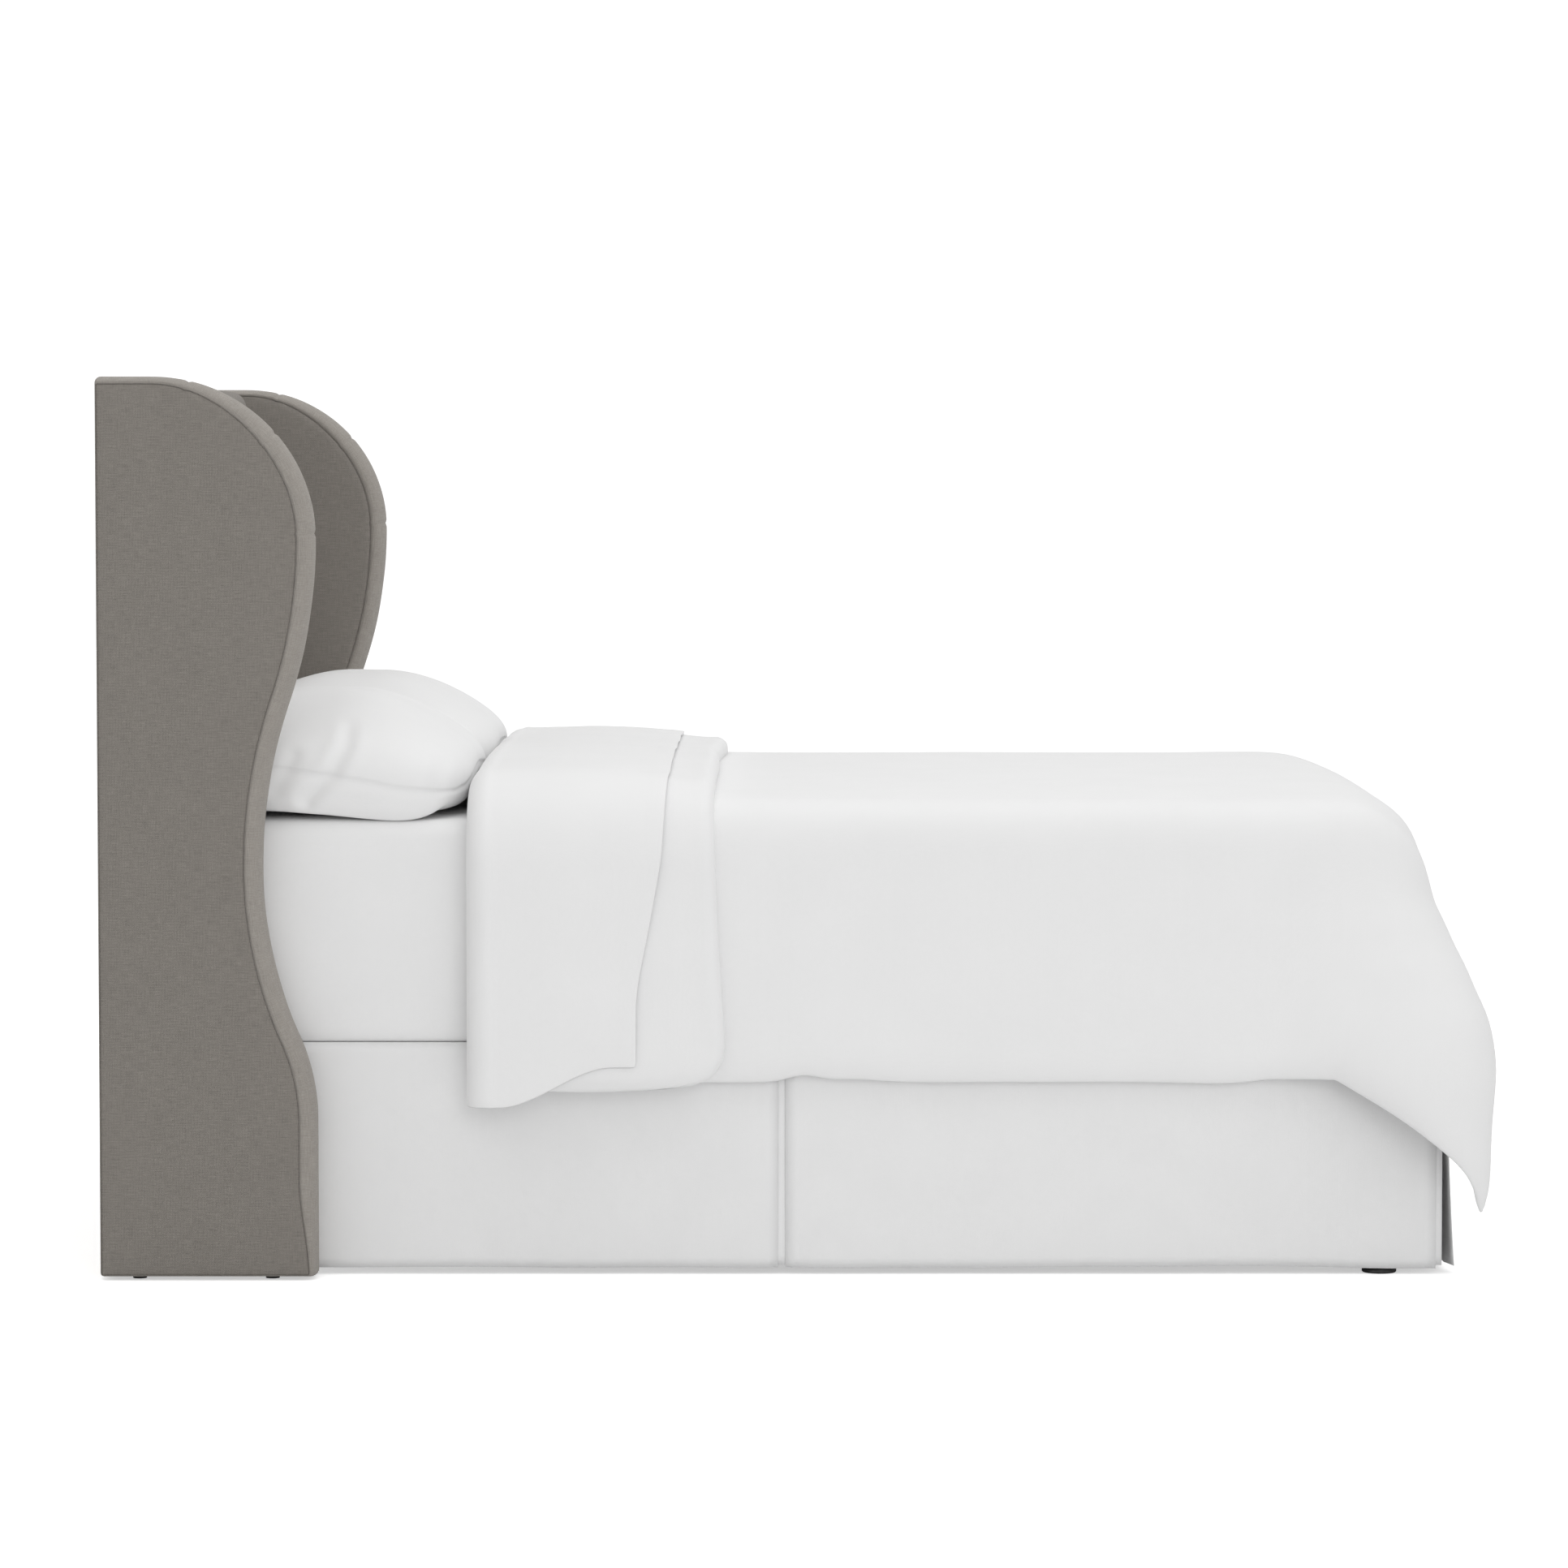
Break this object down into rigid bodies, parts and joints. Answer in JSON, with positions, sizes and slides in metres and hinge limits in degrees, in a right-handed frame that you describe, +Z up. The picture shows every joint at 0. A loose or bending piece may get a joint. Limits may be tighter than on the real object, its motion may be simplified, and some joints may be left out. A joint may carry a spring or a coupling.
{
  "type": "upholstered headboard bed",
  "caption": "Queen wingback bed with linen headboard, steel frame, skirted foundation, mattress, duvet and pillows.",
  "frame": {"origin": "on the floor under the middle of the bed's overall box", "axes": "+Y towards the headboard, +X to the right seen from the foot, +Z up"},
  "size_m": [1.676, 2.206, 1.422],
  "materials": {
    "linen_upholstery": "slubbed linen weave",
    "white_bedding": "soft cotton sateen",
    "white_sheet": "smooth cotton",
    "skirt_cotton": "pressed cotton",
    "lining_cloth": "non-woven",
    "foam": "open-cell",
    "pine": "sawn",
    "plywood": "unfinished",
    "black_steel": "powder coat",
    "zinc_steel": "zinc plated",
    "black_plastic": "moulded"
  },
  "bodies": {
    "bed": {"bottom_rail": "pine", "bracket_bolts": "zinc_steel", "bracket_inserts": "zinc_steel", "centre_legs": "black_steel", "centre_rail": "black_steel", "corner_glides": "black_plastic", "corner_legs": "black_steel", "duvet": "white_bedding", "fitted_sheet": "white_sheet", "foot_cross_rail": "black_steel", "foot_skirt": "skirt_cotton", "foundation_centre_beam": "pine", "foundation_cover": "lining_cloth", "foundation_end_boards": "pine", "foundation_side_boards": "pine", "foundation_slats": "pine", "foundation_top_pad": "lining_cloth", "head_cross_rail": "black_steel", "left_headboard_bracket": "pine", "left_side_rail": "black_steel", "left_skirt": "skirt_cotton", "left_stile": "pine", "left_wing_boxing_strip": "linen_upholstery", "left_wing_cover_panels": "linen_upholstery", "left_wing_foam": "foam", "left_wing_inner_ply": "plywood", "left_wing_outer_ply": "plywood", "mattress_comfort_foam": "foam", "mattress_edge_foam": "foam", "mattress_spring_unit": "foam", "mattress_ticking": "white_sheet", "middle_cross_rail": "black_steel", "middle_rail": "pine", "panel_cover": "linen_upholstery", "panel_dust_cover": "lining_cloth", "panel_foam": "foam", "panel_plywood": "plywood", "rail_bolts": "zinc_steel", "rail_nuts": "zinc_steel", "right_headboard_bracket": "pine", "right_side_rail": "black_steel", "right_skirt": "skirt_cotton", "right_stile": "pine", "right_wing_boxing_strip": "linen_upholstery", "right_wing_cover_panels": "linen_upholstery", "right_wing_foam": "foam", "right_wing_inner_ply": "plywood", "right_wing_outer_ply": "plywood", "skirt_deck": "skirt_cotton", "top_rail": "pine", "top_sheet": "white_sheet", "wing_blocks": "pine", "wing_bolts": "zinc_steel", "wing_glides": "black_plastic", "wing_tee_nuts": "zinc_steel"},
    "left_pillow_body": {"left_pillow": "white_bedding"},
    "right_pillow_body": {"right_pillow": "white_bedding"},
    "head_foot_body": {"head_levelling_foot": "black_plastic"},
    "middle_foot_body": {"middle_levelling_foot": "black_plastic"},
    "foot_foot_body": {"foot_levelling_foot": "black_plastic"}
  },
  "joints": [
    {"name": "left_pillow_lift", "type": "slide", "parent": "bed", "child": "left_pillow_body", "axis": [0, 0, 1], "range_m": [0, 0.7]},
    {"name": "right_pillow_lift", "type": "slide", "parent": "bed", "child": "right_pillow_body", "axis": [0, 0, 1], "range_m": [0, 0.7]},
    {"name": "head_foot_screw", "type": "slide", "parent": "bed", "child": "head_foot_body", "axis": [0, 0, -1], "range_m": [0, 0.015]},
    {"name": "middle_foot_screw", "type": "slide", "parent": "bed", "child": "middle_foot_body", "axis": [0, 0, -1], "range_m": [0, 0.015]},
    {"name": "foot_foot_screw", "type": "slide", "parent": "bed", "child": "foot_foot_body", "axis": [0, 0, -1], "range_m": [0, 0.015]}
  ]
}
